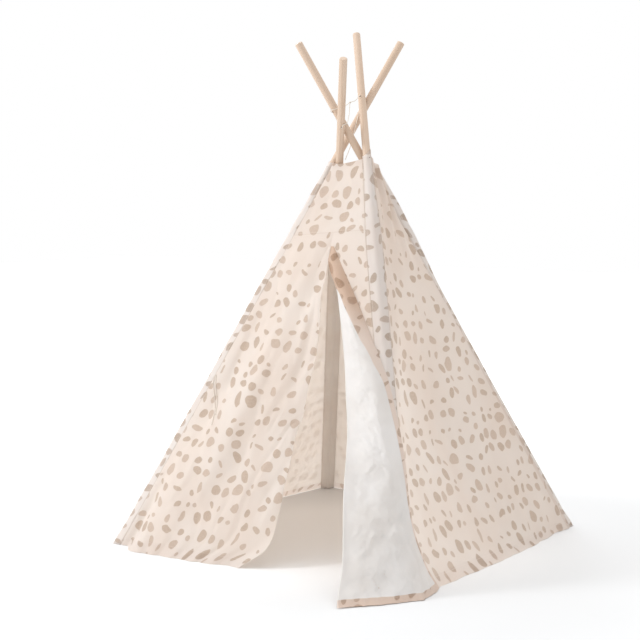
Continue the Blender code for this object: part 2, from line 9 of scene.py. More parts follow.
import bmesh
import bpy
from mathutils import Matrix, Vector, noise
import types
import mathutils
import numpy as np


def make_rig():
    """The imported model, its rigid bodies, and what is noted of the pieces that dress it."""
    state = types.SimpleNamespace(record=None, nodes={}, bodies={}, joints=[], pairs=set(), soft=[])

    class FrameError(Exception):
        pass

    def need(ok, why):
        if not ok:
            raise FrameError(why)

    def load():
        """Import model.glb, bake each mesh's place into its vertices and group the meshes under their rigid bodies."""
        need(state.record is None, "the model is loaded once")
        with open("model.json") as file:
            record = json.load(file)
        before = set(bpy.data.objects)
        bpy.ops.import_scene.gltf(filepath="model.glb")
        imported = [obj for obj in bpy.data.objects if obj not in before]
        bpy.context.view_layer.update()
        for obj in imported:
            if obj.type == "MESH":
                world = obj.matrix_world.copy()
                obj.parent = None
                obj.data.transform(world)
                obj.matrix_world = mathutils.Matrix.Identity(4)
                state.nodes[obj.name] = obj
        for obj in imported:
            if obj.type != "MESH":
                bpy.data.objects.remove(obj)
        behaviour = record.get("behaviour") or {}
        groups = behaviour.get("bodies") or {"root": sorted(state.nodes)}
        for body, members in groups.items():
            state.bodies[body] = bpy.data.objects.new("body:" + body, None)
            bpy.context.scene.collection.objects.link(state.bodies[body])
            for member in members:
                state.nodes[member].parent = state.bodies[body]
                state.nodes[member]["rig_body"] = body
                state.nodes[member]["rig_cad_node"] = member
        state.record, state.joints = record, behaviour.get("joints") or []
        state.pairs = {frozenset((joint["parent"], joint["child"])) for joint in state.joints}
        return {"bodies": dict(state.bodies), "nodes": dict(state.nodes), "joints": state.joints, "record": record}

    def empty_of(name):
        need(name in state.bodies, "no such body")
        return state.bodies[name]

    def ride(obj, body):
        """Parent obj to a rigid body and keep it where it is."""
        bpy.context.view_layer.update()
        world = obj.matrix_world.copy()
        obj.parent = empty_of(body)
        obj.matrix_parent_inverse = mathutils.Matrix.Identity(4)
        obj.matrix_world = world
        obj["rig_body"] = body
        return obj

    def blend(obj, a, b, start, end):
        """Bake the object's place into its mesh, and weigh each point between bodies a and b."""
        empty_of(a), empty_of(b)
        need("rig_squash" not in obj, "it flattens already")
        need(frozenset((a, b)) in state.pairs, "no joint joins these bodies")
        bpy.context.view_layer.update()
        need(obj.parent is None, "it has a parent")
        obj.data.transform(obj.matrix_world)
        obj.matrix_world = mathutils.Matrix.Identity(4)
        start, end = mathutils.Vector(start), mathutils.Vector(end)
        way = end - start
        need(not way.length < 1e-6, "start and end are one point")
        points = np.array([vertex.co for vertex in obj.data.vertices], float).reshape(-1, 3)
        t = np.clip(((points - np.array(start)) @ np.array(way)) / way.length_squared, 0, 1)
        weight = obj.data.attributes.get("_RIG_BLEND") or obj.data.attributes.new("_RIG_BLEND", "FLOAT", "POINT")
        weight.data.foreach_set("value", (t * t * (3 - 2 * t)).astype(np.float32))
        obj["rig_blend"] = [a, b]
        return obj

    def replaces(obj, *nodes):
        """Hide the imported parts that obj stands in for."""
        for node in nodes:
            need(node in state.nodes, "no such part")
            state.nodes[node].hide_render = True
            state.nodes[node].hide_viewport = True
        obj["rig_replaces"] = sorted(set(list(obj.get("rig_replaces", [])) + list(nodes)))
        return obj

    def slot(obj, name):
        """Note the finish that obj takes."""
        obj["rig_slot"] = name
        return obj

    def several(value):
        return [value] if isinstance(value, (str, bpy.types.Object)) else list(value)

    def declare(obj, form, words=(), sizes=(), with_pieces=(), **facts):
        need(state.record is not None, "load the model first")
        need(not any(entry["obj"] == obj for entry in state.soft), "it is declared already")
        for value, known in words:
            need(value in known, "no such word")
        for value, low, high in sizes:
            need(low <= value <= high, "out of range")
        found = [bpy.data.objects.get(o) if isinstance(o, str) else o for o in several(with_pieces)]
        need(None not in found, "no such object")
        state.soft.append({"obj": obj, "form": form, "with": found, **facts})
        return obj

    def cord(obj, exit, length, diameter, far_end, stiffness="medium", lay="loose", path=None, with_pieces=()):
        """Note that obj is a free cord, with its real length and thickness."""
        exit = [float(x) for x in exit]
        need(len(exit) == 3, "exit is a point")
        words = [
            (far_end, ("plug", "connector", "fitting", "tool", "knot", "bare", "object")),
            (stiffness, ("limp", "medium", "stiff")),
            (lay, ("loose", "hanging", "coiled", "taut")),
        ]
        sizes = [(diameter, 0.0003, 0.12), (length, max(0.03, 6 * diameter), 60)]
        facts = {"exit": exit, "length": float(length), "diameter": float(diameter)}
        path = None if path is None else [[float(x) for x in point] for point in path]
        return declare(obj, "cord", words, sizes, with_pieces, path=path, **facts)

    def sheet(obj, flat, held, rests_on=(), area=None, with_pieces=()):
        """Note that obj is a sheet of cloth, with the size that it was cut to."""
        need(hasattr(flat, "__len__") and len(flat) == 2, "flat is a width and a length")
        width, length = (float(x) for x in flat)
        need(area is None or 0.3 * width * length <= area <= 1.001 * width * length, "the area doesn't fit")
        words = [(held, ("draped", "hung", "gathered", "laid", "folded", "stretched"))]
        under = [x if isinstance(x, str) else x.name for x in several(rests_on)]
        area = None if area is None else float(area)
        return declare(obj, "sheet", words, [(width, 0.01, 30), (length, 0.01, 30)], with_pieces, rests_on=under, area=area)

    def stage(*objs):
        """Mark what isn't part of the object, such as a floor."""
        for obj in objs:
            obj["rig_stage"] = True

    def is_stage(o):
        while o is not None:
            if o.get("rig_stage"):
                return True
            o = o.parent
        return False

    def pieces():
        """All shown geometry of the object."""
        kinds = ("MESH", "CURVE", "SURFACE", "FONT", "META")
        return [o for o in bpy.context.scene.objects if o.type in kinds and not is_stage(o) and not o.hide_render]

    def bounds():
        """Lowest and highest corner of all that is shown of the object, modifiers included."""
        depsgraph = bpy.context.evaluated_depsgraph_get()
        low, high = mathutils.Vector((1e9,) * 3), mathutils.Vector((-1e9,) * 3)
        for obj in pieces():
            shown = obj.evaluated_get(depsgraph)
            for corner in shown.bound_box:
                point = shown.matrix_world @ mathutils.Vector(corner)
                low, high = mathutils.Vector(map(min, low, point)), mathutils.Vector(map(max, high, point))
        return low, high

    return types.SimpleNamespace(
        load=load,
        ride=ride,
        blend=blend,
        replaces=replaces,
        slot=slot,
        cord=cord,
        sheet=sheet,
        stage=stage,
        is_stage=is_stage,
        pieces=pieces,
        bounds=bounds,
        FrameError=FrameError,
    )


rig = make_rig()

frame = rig.load()
cad_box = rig.bounds()

UP = Vector((0, 0, 1))
CLOTH = 0.0012
FIT_GAP = 0.0003
POLE_RADIUS = 0.012
POLE_LENGTH = 1.79
HOLE_BELOW_TIP = 0.2325
FERRULE_WALL = 0.0009
FERRULE_END = 0.94
SLEEVE_LENGTH = 1.37
SLEEVE_FLAT_WIDTH = 0.048
SLEEVE_SEAM = 0.02
HEM_LIFT = 0.004
HEM_WIDTH = 0.016
FREE_HEM = 0.024
SEAM_DROP = 0.262
SLIT_BELOW_SEAM = 0.042
SLIT_SHARE = 0.565
DOOR_GAP = 0.0006
FLAP_LENGTH = 1.08
CORD_DIAMETER = 0.0024
TIE_DIAMETER = 0.0026
CORD_STEP = 0.0009
UV_JUMP = 0.25

# The lowest middle of a cloth on the floor, and of one that lies loosely there
ON_FLOOR = 0.0009
OVER_FLOOR = 0.0016
# A distance from a leaning sleeve, as a share of the level one
SLOPE = 0.93


def lerp(a, b, share):
    return a + (b - a) * share


def clamp(x, low=0.0, high=1.0):
    return min(max(x, low), high)


def share_of(x, low, high):
    return (x - low) / (high - low)


def smooth(x, low, high):
    t = clamp(share_of(x, low, high))
    return t * t * (3 - 2 * t)


def bump(share, skew=1.0):
    return math.sin(math.pi * clamp(share) ** skew)


def swell(share):
    """A bump with soft ends."""
    return math.sin(math.pi * share) ** 2


def follow(stops, at, between=smooth):
    """A value between stops of (place, value)."""
    for (low, before), (high, after) in zip(stops, stops[1:]):
        if at <= high:
            return lerp(before, after, between(at, low, high))
    return stops[-1][1]


def level(heading):
    return Vector((math.cos(math.radians(heading)), math.sin(math.radians(heading)), 0))


def add_object(name, data):
    made = bpy.data.objects.new(name, data)
    bpy.context.scene.collection.objects.link(made)
    return made


def add_mesh(name, bm, *materials):
    mesh = bpy.data.meshes.new(name)
    bm.to_mesh(mesh)
    bm.free()
    for material in materials:
        mesh.materials.append(material)
    return add_object(name, mesh)


# Camera, at the photograph's place

camera = add_object("camera", bpy.data.cameras.new("camera"))
camera.data.lens = 84.1
camera.data.sensor_width = 36
camera.location = (2.6896, -3.802, 1.1097)
camera.rotation_euler = (math.pi / 2 - 0.08826, 0, 0.63432)
bpy.context.scene.camera = camera


# Materials

class Nodes:
    """A short way to lay out the nodes of a material or of the world."""

    def __init__(self, owner):
        owner.use_nodes = True
        self.owner = owner
        self.tree = owner.node_tree
        self.shader = self.tree.nodes.get("Principled BSDF")

    def fill(self, node, **inputs):
        """Inputs go by name, or by place as i0, i1 and so on."""
        for key, value in inputs.items():
            socket = node.inputs[int(key[1:]) if key[1:].isdigit() else key.replace("_", " ")]
            if isinstance(value, bpy.types.Node):
                value = value.outputs[0]
            if isinstance(value, bpy.types.NodeSocket):
                self.tree.links.new(value, socket)
            else:
                socket.default_value = value

    def add(self, kind, settings=None, **inputs):
        node = self.tree.nodes.new(kind)
        for key, value in (settings or {}).items():
            setattr(node, key, value)
        self.fill(node, **inputs)
        return node

    def math(self, operation, a, b=0.0, c=0.0):
        return self.add("ShaderNodeMath", {"operation": operation}, i0=a, i1=b, i2=c)

    def times(self, a, b):
        return self.math("MULTIPLY", a, b)

    def vector(self, operation, a, b=(0, 0, 0)):
        return self.add("ShaderNodeVectorMath", {"operation": operation}, i0=a, i1=b)

    def stretch(self, vector, by):
        return self.vector("MULTIPLY", vector, by)

    def length(self, vector):
        return self.vector("LENGTH", vector).outputs["Value"]

    def ramp(self, value, low, high, to_low=0.0, to_high=1.0):
        settings = {"interpolation_type": "SMOOTHSTEP"}
        return self.add("ShaderNodeMapRange", settings, i0=value, i1=low, i2=high, i3=to_low, i4=to_high)

    def mix(self, share, a, b, how="MIX"):
        settings = {"data_type": "RGBA", "blend_type": how}
        return self.add("ShaderNodeMix", settings, i0=share, i6=a, i7=b).outputs[2]

    def attribute(self, name):
        return self.add("ShaderNodeAttribute", {"attribute_name": name}).outputs["Fac"]

    def uv(self):
        return self.add("ShaderNodeUVMap", {"uv_map": "cloth"})

    def place(self):
        return self.add("ShaderNodeTexCoord").outputs["Object"]

    def noise(self, vector, scale, detail=3.0, dimensions="3D"):
        settings = {"noise_dimensions": dimensions}
        return self.add("ShaderNodeTexNoise", settings, Vector=vector, Scale=scale, Detail=detail)

    def wander(self, vector, scale, detail, reach, dimensions="3D"):
        """A random shift, by up to half of reach either way."""
        colour = self.noise(vector, scale, detail, dimensions).outputs["Color"]
        return self.stretch(self.vector("SUBTRACT", colour, (0.5, 0.5, 0.5)), reach)

    def cells(self, vector, feature):
        settings = {"voronoi_dimensions": "2D", "feature": feature}
        return self.add("ShaderNodeTexVoronoi", settings, Vector=vector, Scale=1.0, Randomness=0.56)

    def relief(self, height, strength, depth):
        raised = self.add("ShaderNodeBump", None, Height=height, Strength=strength, Distance=depth)
        self.fill(self.shader, Normal=raised)

    def show(self, shader):
        output = next(node for node in self.tree.nodes if node.type.startswith("OUTPUT"))
        self.fill(output, Surface=shader)
        return self.owner


def new_nodes(name):
    return Nodes(bpy.data.materials.new(name))


def rgb(red, green, blue):
    """An sRGB colour, 0 to 255, as linear light."""
    shares = [c / 255 for c in (red, green, blue)]
    return tuple(c / 12.92 if c <= 0.04045 else ((c + 0.055) / 1.055) ** 2.4 for c in shares) + (1.0,)


CLOTH_BASE = rgb(243, 235, 229)
CLOTH_WARM = rgb(241, 230, 222)
SPOT = rgb(209, 190, 175)
SPOT_DARK = rgb(198, 178, 161)
# The free edge's printed band: its plain colour, and its colour in painted shade
BAND_PALE = rgb(250, 242, 236)
BAND_IN_PAINTED_SHADE = rgb(226, 204, 186)
# The colour of the painted shade in the seams' grooves
SEAM_SHADE = rgb(190, 164, 144)
PRINT_THREAD = rgb(250, 243, 236)
LINING_THREAD = rgb(226, 214, 200)
SPOTS_PER_METRE = 21.5
THREAD_PITCH = 0.0009
RING_PITCH = 0.0031


def spots(n, uv):
    """Scattered ovals and short bars of two tones, about 5 cm apart, in metres of cloth.
    Each keeps inside the circle that is free round its own middle."""
    cells = n.add("ShaderNodeVectorMath", {"operation": "SCALE"}, i0=uv, Scale=SPOTS_PER_METRE)
    for scale, amount in ((0.45, 0.8), (1.8, 0.17)):
        cells = n.vector("ADD", cells, n.wander(cells, scale, 1.0, (amount, amount, 0.0), "2D"))
    nearest, room = (n.cells(cells, feature) for feature in ("F1", "N_SPHERE_RADIUS"))
    chance = n.add("ShaderNodeSeparateColor", None, i0=nearest.outputs["Color"])
    offset = n.vector("SUBTRACT", cells, nearest.outputs["Position"])
    angle = n.times(chance.outputs[0], 2 * math.pi)
    turned = n.add("ShaderNodeVectorRotate", {"rotation_type": "Z_AXIS"}, Vector=offset, Angle=angle)
    slim = n.math("MULTIPLY_ADD", n.math("POWER", chance.outputs[2], 3.2), 1.6, 1.04)
    reach = n.length(n.stretch(turned, n.add("ShaderNodeCombineXYZ", None, i0=1.0, i1=slim, i2=0.0)))
    share = n.math("MULTIPLY_ADD", n.math("POWER", chance.outputs[1], 1.1), 0.52, 0.5)
    size = n.math("MINIMUM", n.times(room.outputs["Radius"], share), 0.4)
    return n.ramp(n.math("SUBTRACT", reach, size), -0.022, 0.022, 1.0, 0.0), chance.outputs[0]


def weave(n, uv):
    """Plain weave: warp and weft threads, with a little slub, as a height."""
    parts = n.add("ShaderNodeSeparateXYZ", None, i0=uv)
    warp, weft = (n.math("SINE", n.times(parts.outputs[i], 2 * math.pi / THREAD_PITCH)) for i in (0, 1))
    slub = n.noise(uv, 420, 2.0, "2D")
    return n.math("ADD", n.times(n.times(warp, weft), 0.4), slub)


def stitches(n, uv, distance, at, along, length=0.0034, width=0.0007):
    """A row of stitches at a distance from an edge: 1 on the thread."""
    parts = n.add("ShaderNodeSeparateXYZ", None, i0=uv)
    off = n.math("ABSOLUTE", n.math("SUBTRACT", distance, at))
    row = n.ramp(off, width * 0.5, width * 1.1, 1.0, 0.0)
    step = n.math("FRACT", n.math("DIVIDE", parts.outputs[along], length))
    thread = n.ramp(n.math("ABSOLUTE", n.math("SUBTRACT", step, 0.5)), 0.34, 0.46, 1.0, 0.0)
    return n.times(row, thread)


def turned_edge(n, distance, width):
    """1 on a hem, with a short step at its inner end."""
    return n.ramp(distance, width - 0.001, width + 0.0012, 1.0, 0.0)


def finish_cloth(n, colour, height, through, tint):
    """A matt cloth that lets some light through."""
    n.fill(
        n.shader, Base_Color=colour, Roughness=0.88, Specular_IOR_Level=0.25, Sheen_Weight=0.12,
        Sheen_Roughness=0.5,
    )
    n.relief(height, 0.5, 0.0012)
    glow = n.add("ShaderNodeBsdfTranslucent", None, Color=n.mix(0.45, tint, colour))
    return n.show(n.add("ShaderNodeMixShader", None, i0=through, i1=n.shader, i2=glow))


def print_colour(n, uv):
    """The printed side: pale ground, spots, and a slightly uneven dye."""
    mask, chance = spots(n, uv)
    cloud = n.noise(uv, 4.5, 3.0, "2D")
    ground = n.mix(n.ramp(cloud, 0.3, 0.7), CLOTH_BASE, CLOTH_WARM)
    tone = n.mix(n.ramp(chance, 0.35, 0.65), SPOT, SPOT_DARK)
    dye = n.noise(uv, 190, 3.0, "2D")
    return n.mix(n.times(mask, n.ramp(dye, 0.2, 0.75, 0.78, 1.0)), ground, tone)


def edge_lines(n, uv):
    """Stitch rows along the hem and the seams, the step of the turned hem, and the seams' grooves, which printed
    cotton paints in shade.
    """
    hem, side, cross = n.attribute("hem"), n.attribute("side"), n.attribute("cross")
    thread = stitches(n, uv, hem, HEM_WIDTH - 0.003, 0)
    thread = n.math("MAXIMUM", thread, stitches(n, uv, side, 0.0035, 1))
    thread = n.math("MAXIMUM", thread, stitches(n, uv, cross, 0.0045, 0, 0.006, 0.0009))
    groove = n.math("MAXIMUM", n.ramp(side, 0.0, 0.0026, 1.0, 0.0), n.ramp(cross, 0.0, 0.002, 0.45, 0.0))
    return thread, turned_edge(n, hem, HEM_WIDTH), groove


def cloth_height(n, uv, thread, fold):
    return n.math("ADD", n.math("ADD", n.times(weave(n, uv), 0.3), n.times(thread, 0.8)), fold)


def printed_cotton(name="printed cotton", through=0.5):
    n = new_nodes(name)
    uv = n.uv()
    thread, fold, groove = edge_lines(n, uv)
    # Painted shade in the grooves of the sewn sides, fainter along the cross seam
    colour = n.mix(n.times(groove, 0.28), print_colour(n, uv), SEAM_SHADE)
    colour = n.mix(n.times(thread, 0.55), colour, PRINT_THREAD)
    height = n.math("SUBTRACT", cloth_height(n, uv, thread, n.times(fold, 0.9)), groove)
    return finish_cloth(n, colour, height, through, rgb(252, 248, 243))


def lining(name, base, shade, through=0.6, turned_side=False):
    """The unprinted side, with the printed hem turned over onto it. On the turned side, the printed band along the
    free edge is painted in shade where its shade mark is low.
    """
    n = new_nodes(name)
    uv = n.uv()
    thread, fold, _ = edge_lines(n, uv)
    printed = print_colour(n, uv)
    if turned_side:
        free = n.attribute("free")
        fold = n.math("MAXIMUM", fold, turned_edge(n, free, FREE_HEM))
        thread = n.math("MAXIMUM", thread, stitches(n, uv, free, FREE_HEM - 0.003, 1))
        # Painted shade: the printed band is multiplied by a darker warm colour where the shade mark falls from 1 to 0
        tone = n.mix(n.attribute("shade"), BAND_IN_PAINTED_SHADE, BAND_PALE)
        printed = n.mix(1.0, printed, tone, "MULTIPLY")
    cloud = n.noise(uv, 6, 4.0, "2D")
    colour = n.mix(fold, n.mix(n.ramp(cloud, 0.3, 0.75), base, shade), printed)
    slub = n.noise(n.stretch(uv, (1.0, 0.12, 1.0)), 900, 2.0, "2D")
    colour = n.mix(n.ramp(slub, 0.55, 0.8, 0.0, 0.22), colour, shade)
    colour = n.mix(n.times(thread, 0.5), colour, LINING_THREAD)
    return finish_cloth(n, colour, cloth_height(n, uv, thread, fold), through, rgb(252, 248, 244))


def pine(name, lengthwise, place, seed):
    """Bare pine: growth rings round a pith beside the rod, so that they run as grain."""
    n = new_nodes(name)
    turn = lengthwise.to_track_quat("Z", "Y").to_matrix().transposed()
    rod = n.add(
        "ShaderNodeMapping", None, Vector=n.place(), Rotation=turn.to_euler(), Location=-(turn @ place)
    )
    local = n.vector("ADD", rod, (seed * 0.37, seed * 0.61, seed * 1.9))
    bent = n.wander(n.stretch(local, (9.0, 9.0, 1.6)), 1.0, 2.0, (0.016, 0.016, 0.0))
    bent = n.vector("ADD", rod, bent)
    pith = (0.016 * math.cos(seed * 2.1), 0.016 * math.sin(seed * 2.1), 0.0)
    reach = n.length(n.stretch(n.vector("SUBTRACT", bent, pith), (1.0, 1.0, 0.0)))
    ring = n.math("FRACT", n.math("DIVIDE", reach, RING_PITCH))
    late = n.times(n.ramp(ring, 0.25, 0.92), n.ramp(ring, 0.92, 1.0, 1.0, 0.0))
    fibre = n.noise(n.stretch(local, (900.0, 900.0, 16.0)), 1.0, 3.0)
    tone = n.noise(n.stretch(local, (20.0, 20.0, 2.2)), 1.0, 2.0)
    colour = n.mix(n.ramp(tone, 0.3, 0.7), rgb(214, 192, 173), rgb(206, 183, 162))
    colour = n.mix(n.times(late, 0.4), colour, rgb(188, 157, 131))
    colour = n.mix(n.ramp(fibre, 0.52, 0.85, 0.0, 0.32), colour, rgb(196, 170, 146))
    roughness = n.ramp(fibre, 0.2, 0.8, 0.46, 0.64)
    n.fill(n.shader, Base_Color=colour, Roughness=roughness, Specular_IOR_Level=0.35)
    n.relief(n.math("ADD", n.times(fibre, 0.6), n.times(late, 0.4)), 0.25, 0.0006)
    return n.owner


def steel():
    n = new_nodes("galvanised steel")
    grain = n.noise(n.stretch(n.place(), (60.0, 60.0, 900.0)), 1.0, 3.0)
    colour = n.mix(grain, rgb(176, 176, 176), rgb(214, 214, 212))
    n.fill(n.shader, Base_Color=colour, Roughness=n.ramp(grain, 0.2, 0.8, 0.28, 0.48), Metallic=1.0)
    return n.owner


def cotton_cord(name, pale, dark):
    """Twisted yarn: the plies are in the mesh, and the fibres here, with painted shade in the valleys between the
    plies.
    """
    n = new_nodes(name)
    fibre = n.noise(n.stretch(n.uv(), (2600.0, 700.0, 1.0)), 1.0, 3.0)
    colour = n.mix(n.ramp(fibre, 0.3, 0.8), pale, dark)
    # Painted shade in the valleys between the plies
    colour = n.mix(n.times(n.attribute("valley"), 0.4), colour, rgb(184, 168, 152))
    n.fill(n.shader, Base_Color=colour, Roughness=0.85, Specular_IOR_Level=0.25)
    n.relief(fibre, 0.5, 0.0002)
    return n.owner


PRINT = printed_cotton()
SLEEVE_PRINT = printed_cotton("printed cotton over a pole", through=0.34)
WALL = lining("inner side of the walls", rgb(249, 244, 238), rgb(245, 238, 230))
WHITE = lining("white lining", rgb(247, 245, 243), rgb(240, 236, 232), through=0.3, turned_side=True)
# Painted light: the sleeves' inner side is the walls' lining made a little whiter, for the light that the poles keep
# out
STRIP_WITH_PAINTED_LIGHT = lining("inner side of the sleeves", rgb(252, 246, 240), rgb(248, 239, 231), through=0.2)
CORD = cotton_cord("cotton cord", rgb(236, 228, 218), rgb(218, 208, 196))
TACK = cotton_cord("brown thread", rgb(150, 112, 92), rgb(120, 86, 70))


# Cords

def smooth_route(places, steps=14):
    """Catmull-Rom through the places."""
    places = [Vector(p) for p in places]
    ends = [places[0] * 2 - places[1]] + places + [places[-1] * 2 - places[-2]]
    fine = []
    for a, b, c, d in zip(ends, ends[1:], ends[2:], ends[3:]):
        for i in range(steps):
            t = i / steps
            square = (a * 2 - b * 5 + c * 4 - d) * t ** 2
            cube = (b * 3 - a - c * 3 + d) * t ** 3
            fine.append((b * 2 + (c - a) * t + square + cube) / 2)
    return fine + [places[-1]]


def spaced(fine, step):
    """Points at an even step along a fine line."""
    lengths = [0.0]
    for a, b in zip(fine, fine[1:]):
        lengths.append(lengths[-1] + (b - a).length)
    count = max(6, round(lengths[-1] / step))
    points = []
    at = 0
    for i in range(count + 1):
        want = lengths[-1] * i / count
        while at < len(fine) - 2 and lengths[at + 1] < want:
            at += 1
        span = lengths[at + 1] - lengths[at]
        points.append(lerp(fine[at], fine[at + 1], (want - lengths[at]) / span if span else 0))
    return points


def length_of(points):
    return sum((b - a).length for a, b in zip(points, points[1:]))


def skin(bm, uv, rings, first_side):
    """Faces between rings of (vertex, flat x, flat y). Those past first_side take the second
    material, and where flat x jumps, a face keeps its first value."""
    count = len(rings[0])
    for low, high in zip(rings, rings[1:]):
        for k in range(count):
            j = (k + 1) % count
            corners = (low[k], low[j], high[j], high[k])
            face = bm.faces.new([c[0] for c in corners])
            face.smooth = True
            face.material_index = 0 if k < first_side else 1
            first = low[k][1]
            for loop, (_, x, y) in zip(face.loops, corners):
                loop[uv].uv = (first if abs(x - first) > UV_JUMP else x, y)


def rope(name, points, diameter, pitch=0.0075, plies=3, round_ends=True, material=CORD):
    """A twisted cord as a mesh, its plies turning along an even line of points."""
    sides = plies * 5
    bm = bmesh.new()
    uv = bm.loops.layers.uv.new("cloth")
    valley = bm.verts.layers.float.new("valley")
    normal = (points[1] - points[0]).orthogonal().normalized()
    rings = []
    total = length_of(points)
    along = 0.0
    for i, place in enumerate(points):
        ahead = points[min(i + 1, len(points) - 1)] - points[max(i - 1, 0)]
        ahead.normalize()
        normal = (normal - ahead * normal.dot(ahead)).normalized()
        binormal = ahead.cross(normal)
        if i:
            along += (place - points[i - 1]).length
        end = min(along, total - along) / diameter
        taper = math.sqrt(clamp(1 - (1 - clamp(end * 2.5)) ** 2, 0.02)) if round_ends else 1.0
        ring = []
        for k in range(sides):
            angle = 2 * math.pi * k / sides
            lobe = abs(math.cos(plies / 2 * (angle - 2 * math.pi * along / pitch)))
            radius = diameter / 2 * (0.8 + 0.2 * lobe) * taper
            vert = bm.verts.new(place + (normal * math.cos(angle) + binormal * math.sin(angle)) * radius)
            # How deep each point lies between the plies, which the cord's colour paints in shade
            vert[valley] = 1 - lobe
            ring.append((vert, angle * diameter / 2, along))
        rings.append(ring)
    skin(bm, uv, rings, sides)
    bm.faces.new([c[0] for c in rings[0][::-1]])
    bm.faces.new([c[0] for c in rings[-1]])
    return add_mesh(name, bm, material)


def torus_knot(centre, size, diameter):
    """The middle of an overhand knot, pulled tight."""
    tilt = Matrix.Rotation(0.7, 3, "X")
    points = []
    for i in range(97):
        t = 2 * math.pi * i / 96
        ring = 1 + 0.5 * math.cos(3 * t)
        local = Vector((ring * math.cos(2 * t), ring * math.sin(2 * t), 0.62 * math.sin(3 * t)))
        points.append(centre + tilt @ local * (size / 2 - diameter / 2) / 1.5)
    return points


def lay_cord(name, node, places, diameter, far_end, knots=()):
    points = spaced(smooth_route(places), CORD_STEP)
    made = rope(name, points, diameter)
    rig.ride(made, "cover")
    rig.replaces(made, node)
    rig.slot(made, "cotton_cord")
    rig.cord(
        made, exit=points[0], length=length_of(points), diameter=diameter, far_end=far_end,
        stiffness="limp", lay="hanging", path=points, with_pieces=knots,
    )


def knot_piece(name, centre, size, diameter):
    made = rope(name, torus_knot(centre, size, diameter), diameter, round_ends=False)
    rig.ride(made, "cover")
    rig.slot(made, "cotton_cord")
    return made


# The poles' lines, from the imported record

HINGES = {joint["child"]: joint for joint in frame["joints"]}
FEET = {mount["name"]: Vector(mount["pos_m"]) for mount in frame["record"]["mounts"]}


class Corner:
    """One pole's line and the flat sleeve round it."""

    def __init__(self, name):
        self.name = name
        self.body = "pole_" + name
        self.foot = FEET["foot_" + name]
        self.pivot = Vector(HINGES[self.body]["pos_m"])
        self.axis = (self.pivot - self.foot).normalized()
        self.outward = Vector((-self.axis.x, -self.axis.y, 0)).normalized()
        self.side = UP.cross(self.outward)
        self.pole_start = (CLOTH + FIT_GAP + POLE_RADIUS * math.sin(self.axis.angle(UP))) / self.axis.z

    def at(self, along):
        return self.foot + self.axis * along

    def half_thickness(self, along):
        low = POLE_RADIUS + FERRULE_WALL + FIT_GAP + CLOTH
        high = POLE_RADIUS + FIT_GAP + CLOTH
        return lerp(low, high, clamp(share_of(along, self.pole_start + FERRULE_END, SLEEVE_LENGTH)))

    def half_width(self, along):
        gathered = smooth(along / SLEEVE_LENGTH, 0.74, 1.0)
        return lerp(SLEEVE_FLAT_WIDTH / 2 + 0.001, self.half_thickness(SLEEVE_LENGTH), gathered)

    def tip(self, along, turn):
        return self.at(along) + self.side * turn * (self.half_width(along) + FIT_GAP)


CORNERS = {name: Corner(name) for name in ("front_left", "front_right", "back_right", "back_left")}


class Face:
    """The span of cover between two neighbouring sleeves, and its own flat coordinates."""

    def __init__(self, first, second, top_drop=0.0):
        self.first = CORNERS[first]
        self.second = CORNERS[second]
        self.top = SLEEVE_LENGTH - top_drop
        self.ex = (self.second.foot - self.first.foot).normalized()
        self.normal = self.ex.cross(UP).normalized()
        self.origin = (self.first.foot + self.second.foot) / 2
        up = self.flat(0.5, 1) - self.flat(0.5, 0)
        self.ey = (up - self.ex * up.dot(self.ex)).normalized()

    def flat(self, across, up, top=None):
        ends = []
        for corner, turn in ((self.first, 1), (self.second, -1)):
            ends.append(corner.tip(lerp(HEM_LIFT / corner.axis.z, top or self.top, up), turn))
        return lerp(*ends, across)

    def width(self, up, top=None):
        return (self.flat(1, up, top) - self.flat(0, up, top)).length

    def uv(self, place):
        return ((place - self.origin).dot(self.ex), (place - self.origin).dot(self.ey))

    def halves(self):
        """Each sleeve with its half of the span and the end that runs on into the other half."""
        return ((self.first, (0, 0.5), "high"), (self.second, (0.5, 1), "low"))


FACES = {
    "door": Face("front_left", "front_right"),
    "right": Face("front_right", "back_right", 0.07),
    "back": Face("back_right", "back_left"),
    "left": Face("back_left", "front_left", 0.07),
}


def lip(height):
    """1 at the hem, and fading within a few centimetres above it."""
    return math.exp(-max(height - HEM_LIFT, 0) / 0.015)


def on_floor(place, change=0.0, lowest=OVER_FLOOR):
    place.z = max(place.z + change, lowest)
    return place


def folds(x, y, seed, wave, stretch, slant=0.0):
    """Soft folds some way apart, longer than wide, that lean by slant."""
    return noise.noise(Vector(((x + y * slant) / wave, y / (wave * stretch), seed)))


def creases(x, y, seed, wave):
    """Sharper, crumpled folds: ridges where the noise passes zero."""
    value = noise.noise(Vector((x / wave, y / wave, seed)))
    return 1 - min(abs(value) * 4, 1)


def pucker(x, y, seed, side, depth=0.0011, stretch=0.6, fade=0.05):
    """Short gathers beside a sewn edge."""
    near = smooth(side, 0.0, 0.006) * (1 - smooth(side, 0.01, fade))
    return depth * folds(x, y, seed, 0.03, stretch) * near


# Cloth

# Distances from hems, sewn sides, free edges and the cross seam, and a shade mark: 1 where the turned flap's printed
# band is plain, down to 0 where it is painted in shade
MARKS = ("hem", "side", "free", "cross", "shade")


